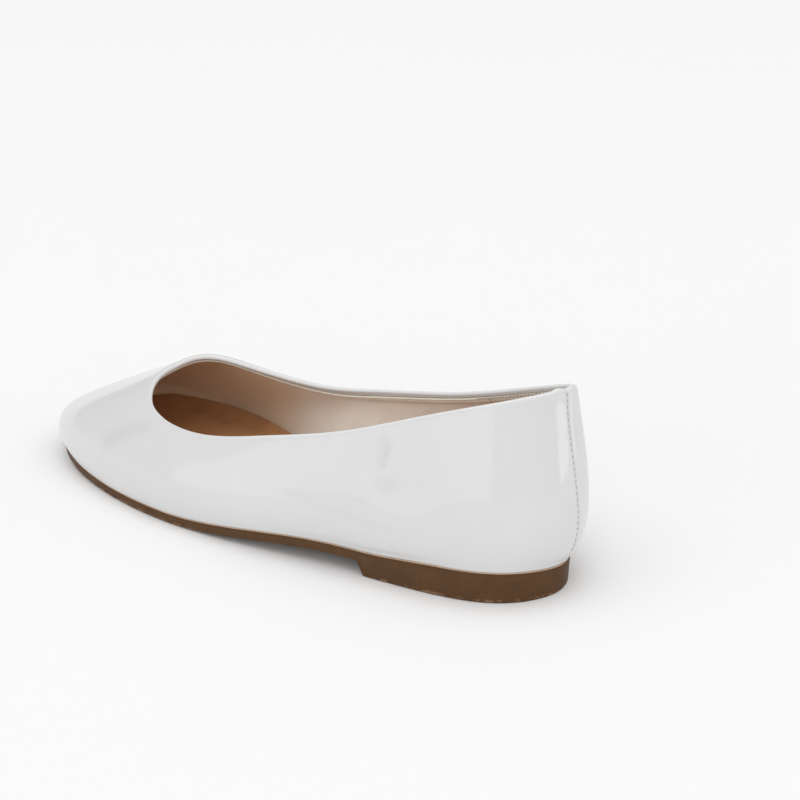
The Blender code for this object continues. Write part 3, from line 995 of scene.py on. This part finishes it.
def buildEdgeLine():
    e = edgeLine
    path, _ = evenPath(rim(places, e["inset"], lambda x, y: soleTop(x, y) + e["lift"]), e["step"])
    rows = closedTube(path, np.full(len(path), e["radius"]), e["sides"])
    item = makeSleeve("edge_line", rows, driftMaterial("pale edge", e, 0.008, 0.7, Roughness=0.6))


buildEdgeLine()
print("edge line done")


# Stitches: short threads with round ends, sunk along a line on the surface.
seamStitches = {
    "pitch": 0.0019, "length": 0.0005, "radius": 0.00013,
    "bottom": 0.004, "top": 0.0012, "lift": 0.00008, "columns": 30,
    "colour": (0.46, 0.45, 0.44), "secondColour": (0.34, 0.33, 0.32),
}
gripStitches = {
    "pitch": 0.0017, "length": 0.0009, "radius": 0.00015,
    "start": 0.0495, "depth": 0.00252, "wall": 0.00285, "firstGap": 0.0002, "lastGap": 0.0005,
    "rowBottom": 0.020, "rowSteps": 48, "edgeInset": 0.0008,
    "overCord": 0.00297, "cordFoot": 0.0034,
    "colour": (0.36, 0.31, 0.27), "secondColour": (0.26, 0.22, 0.19),
}
thread = {"sides": 8, "rings": 8, "opening": 0.12, "aside": (0.3, 0.7, 0.64)}


# A thread along an axis: rings of a capsule, half a ball at each end.
def capsule(start, end, radius):
    axis = unit(end - start)
    across = unit(np.cross(axis, np.array(thread["aside"])))
    over = np.cross(across, axis)
    turn = np.linspace(0, 2 * math.pi, thread["sides"], endpoint=False)[:, None]
    limit = math.pi / 2 - thread["opening"]
    rows = []
    for angle in np.linspace(-limit, limit, thread["rings"]):
        centre = start if angle < 0 else end
        spread = radius * math.cos(angle) * (np.cos(turn) * across + np.sin(turn) * over)
        rows.append(centre + math.sin(angle) * radius * axis + spread)
    return np.array(rows)


# Threads along an open line, by length along it, from one run to another.
def stitchRow(line, first, final, values, points, faces):
    run = np.concatenate([[0], np.cumsum(np.linalg.norm(np.diff(line, axis=0), axis=1))])
    for start in np.arange(first, run[-1] - final, values["pitch"]):
        ends = [np.array([np.interp(start + d, run, line[:, k]) for k in range(3)])
                for d in (0, values["length"])]
        rows = capsule(*ends, values["radius"])
        sides = rows.shape[1]
        base = sum(len(block) for block in points)
        tip = base + (len(rows) - 1) * sides
        faces += ringFaces(len(rows), sides, False, base).tolist()
        faces += [tuple(range(base, base + sides)), tuple(reversed(range(tip, tip + sides)))]
        points.append(rows.reshape(-1, 3))


def buildStitches(name, threadName, rowsOf, values):
    points, faces = [], []
    for line, first, final in rowsOf(values):
        stitchRow(line, first, final, values, points, faces)
    material = driftMaterial(threadName, values, 0.002, 0.6, Roughness=0.7)
    makeObject(name, np.concatenate(points), faces, material)


# The seam's line up the back, where each wall row crosses the seam's side, with the lengths
# left free at its ends.
def seamRows(s):
    order = np.r_[ringCount - s["columns"]:ringCount, 0:s["columns"]]
    line = []
    for row, normals in zip(wallPoints[:, order], wallNormals[:, order]):
        side = seamSide(row[s["columns"], 2])
        by = np.argsort(row[:, 0])
        point, normal = (np.array([np.interp(side, row[by, 0], values[by, k]) for k in range(3)])
                         for values in (row, normals))
        line.append(point + s["lift"] * normal)
    return [(np.array(line), s["bottom"], s["top"])]


# The grip's lines: round the heel under the cord, and down its front edge each side.
def gripRows(s):
    ring = insidePoint(s["depth"] + foldChange, s["wall"])
    behind = np.where(-ring[:, 1] < s["start"])[0]
    split = np.argmax(np.diff(behind)) + 1
    rows = [(ring[np.r_[behind[split:], behind[:split]]], s["firstGap"], s["lastGap"])]
    for side in (slice(0, half), slice(half, ringCount)):
        line = []
        for depth in np.linspace(s["depth"], s["rowBottom"], s["rowSteps"]):
            wall = np.interp(depth, lining["ridgeDepths"], lining["ridgeWalls"])
            wall = max(wall, s["overCord"] if depth < s["cordFoot"] else 0)
            wall += lining["gripStep"] if depth > lining["plainDepth"] else 0
            row = insidePoint(depth + foldChange, wall)[side]
            by = np.argsort(row[:, 1])
            at = s["edgeInset"] - lining["gripAlong"]
            line.append([np.interp(at, row[by, 1], row[by, k]) for k in range(3)])
        rows.append((np.array(line), 0.0, 0.0))
    return rows


buildStitches("seam_stitches", "seam thread", seamRows, seamStitches)
buildStitches("grip_stitches", "grip thread", gripRows, gripStitches)
print("stitches done")


# Floor, light and camera
floor = {"size": 60.0, "colour": (0.975, 0.975, 0.975), "secondColour": (0.965, 0.965, 0.966)}
room = {"azimuth": 215.0, "start": -0.85, "end": 0.30, "dim": 0.52, "bright": 0.68}


def buildFloor():
    s = floor["size"] / 2
    mesh = bpy.data.meshes.new("floor")
    mesh.from_pydata([(-s, -s, 0), (s, -s, 0), (s, s, 0), (-s, s, 0)], [], [(0, 1, 2, 3)])
    item = newObject("floor", mesh)
    mesh.materials.append(driftMaterial("floor", floor, 0.3, 0.3, Roughness=0.8,
                                        Specular_IOR_Level=0.2))


# The room: white walls behind the shoe, dimmer toward the front, by the direction's share of
# the backdrop's own direction.
def buildRoom():
    world = bpy.data.worlds.new("studio")
    bpy.context.scene.world = world
    world.use_nodes = True
    tree = world.node_tree
    direction = newNode(tree, "ShaderNodeTexCoord").outputs["Generated"]
    turn = math.radians(room["azimuth"])
    facing = newNode(tree, "ShaderNodeVectorMath", {"operation": "DOT_PRODUCT"})
    tree.links.new(direction, facing.inputs[0])
    facing.inputs[1].default_value = (math.cos(turn), math.sin(turn), 0.0)
    strength = ramp(tree, facing.outputs["Value"], room["start"], room["end"],
                    room["dim"], room["bright"])
    background = tree.nodes["Background"]
    background.inputs["Color"].default_value = (1.0, 1.0, 1.0, 1.0)
    tree.links.new(strength, background.inputs["Strength"])


# Soft sky-like lamps: azimuth, elevation and spread in degrees, and power.
softLamps = {
    "top": (-30.0, 72.0, 60.0, 0.58),
    "side": (62.0, 34.0, 70.0, 0.88),
}
# Soft boxes that the patent mirrors: azimuth, distance, height of the foot, width, height and
# power. They are turned to a point above the shoe's middle.
softBoxes = {
    "heel window": (112.0, 2.2, 0.06, 0.62, 0.26, 1.2),
    "side panel": (-13.5, 4.4, 0.12, 5.4, 1.9, 32.0),
}
boxTarget = Vector((0, 0, 0.04))


def buildLights():
    for name, (azimuth, elevation, spread, power) in softLamps.items():
        a, e = math.radians(azimuth), math.radians(elevation)
        data = bpy.data.lights.new(name, "SUN")
        data.angle = math.radians(spread)
        data.energy = power
        item = newObject(name, data)
        item.location = (math.cos(a) * math.cos(e), math.sin(a) * math.cos(e), math.sin(e))
        item.rotation_euler = (-item.location).to_track_quat("-Z", "Y").to_euler()
        item.visible_glossy = False
    for name, (azimuth, distance, foot, width, tall, power) in softBoxes.items():
        turn = math.radians(azimuth)
        data = bpy.data.lights.new(name, "AREA")
        data.shape = "RECTANGLE"
        data.size, data.size_y = width, tall
        data.energy = power
        item = newObject(name, data)
        item.location = (distance * math.cos(turn), distance * math.sin(turn), foot + tall / 2)
        item.rotation_euler = (boxTarget - item.location).to_track_quat("-Z", "Y").to_euler()
        item.visible_camera = False


# Camera: direction from the target in degrees (azimuth from +X toward +Y), distance, roll.
view = {"azimuth": 41.07, "elevation": 19.58, "distance": 0.5266, "roll": -2.81,
        "target": (-0.02265, 0.03539, 0.04009), "lens": 67.5, "sensor": 36.0,
        "clipStart": 0.01}


def buildCamera():
    azimuth, elevation, roll = (math.radians(view[key]) for key in ("azimuth", "elevation", "roll"))
    back = Vector((math.cos(azimuth) * math.cos(elevation), math.sin(azimuth) * math.cos(elevation),
                   math.sin(elevation)))
    right = Vector((0, 0, 1)).cross(back).normalized()
    up = back.cross(right)
    rolledRight = right * math.cos(roll) + up * math.sin(roll)
    rolledUp = up * math.cos(roll) - right * math.sin(roll)
    data = bpy.data.cameras.new("camera")
    data.lens = view["lens"]
    data.sensor_width = view["sensor"]
    data.clip_start = view["clipStart"]
    item = newObject("camera", data)
    turn = Matrix((rolledRight, rolledUp, back)).transposed().to_4x4()
    item.matrix_world = Matrix.Translation(Vector(view["target"]) + back * view["distance"]) @ turn
    bpy.context.scene.camera = item


bpy.context.scene.view_settings.view_transform = "Standard"
buildFloor()
buildRoom()
buildLights()
buildCamera()
print("studio done")
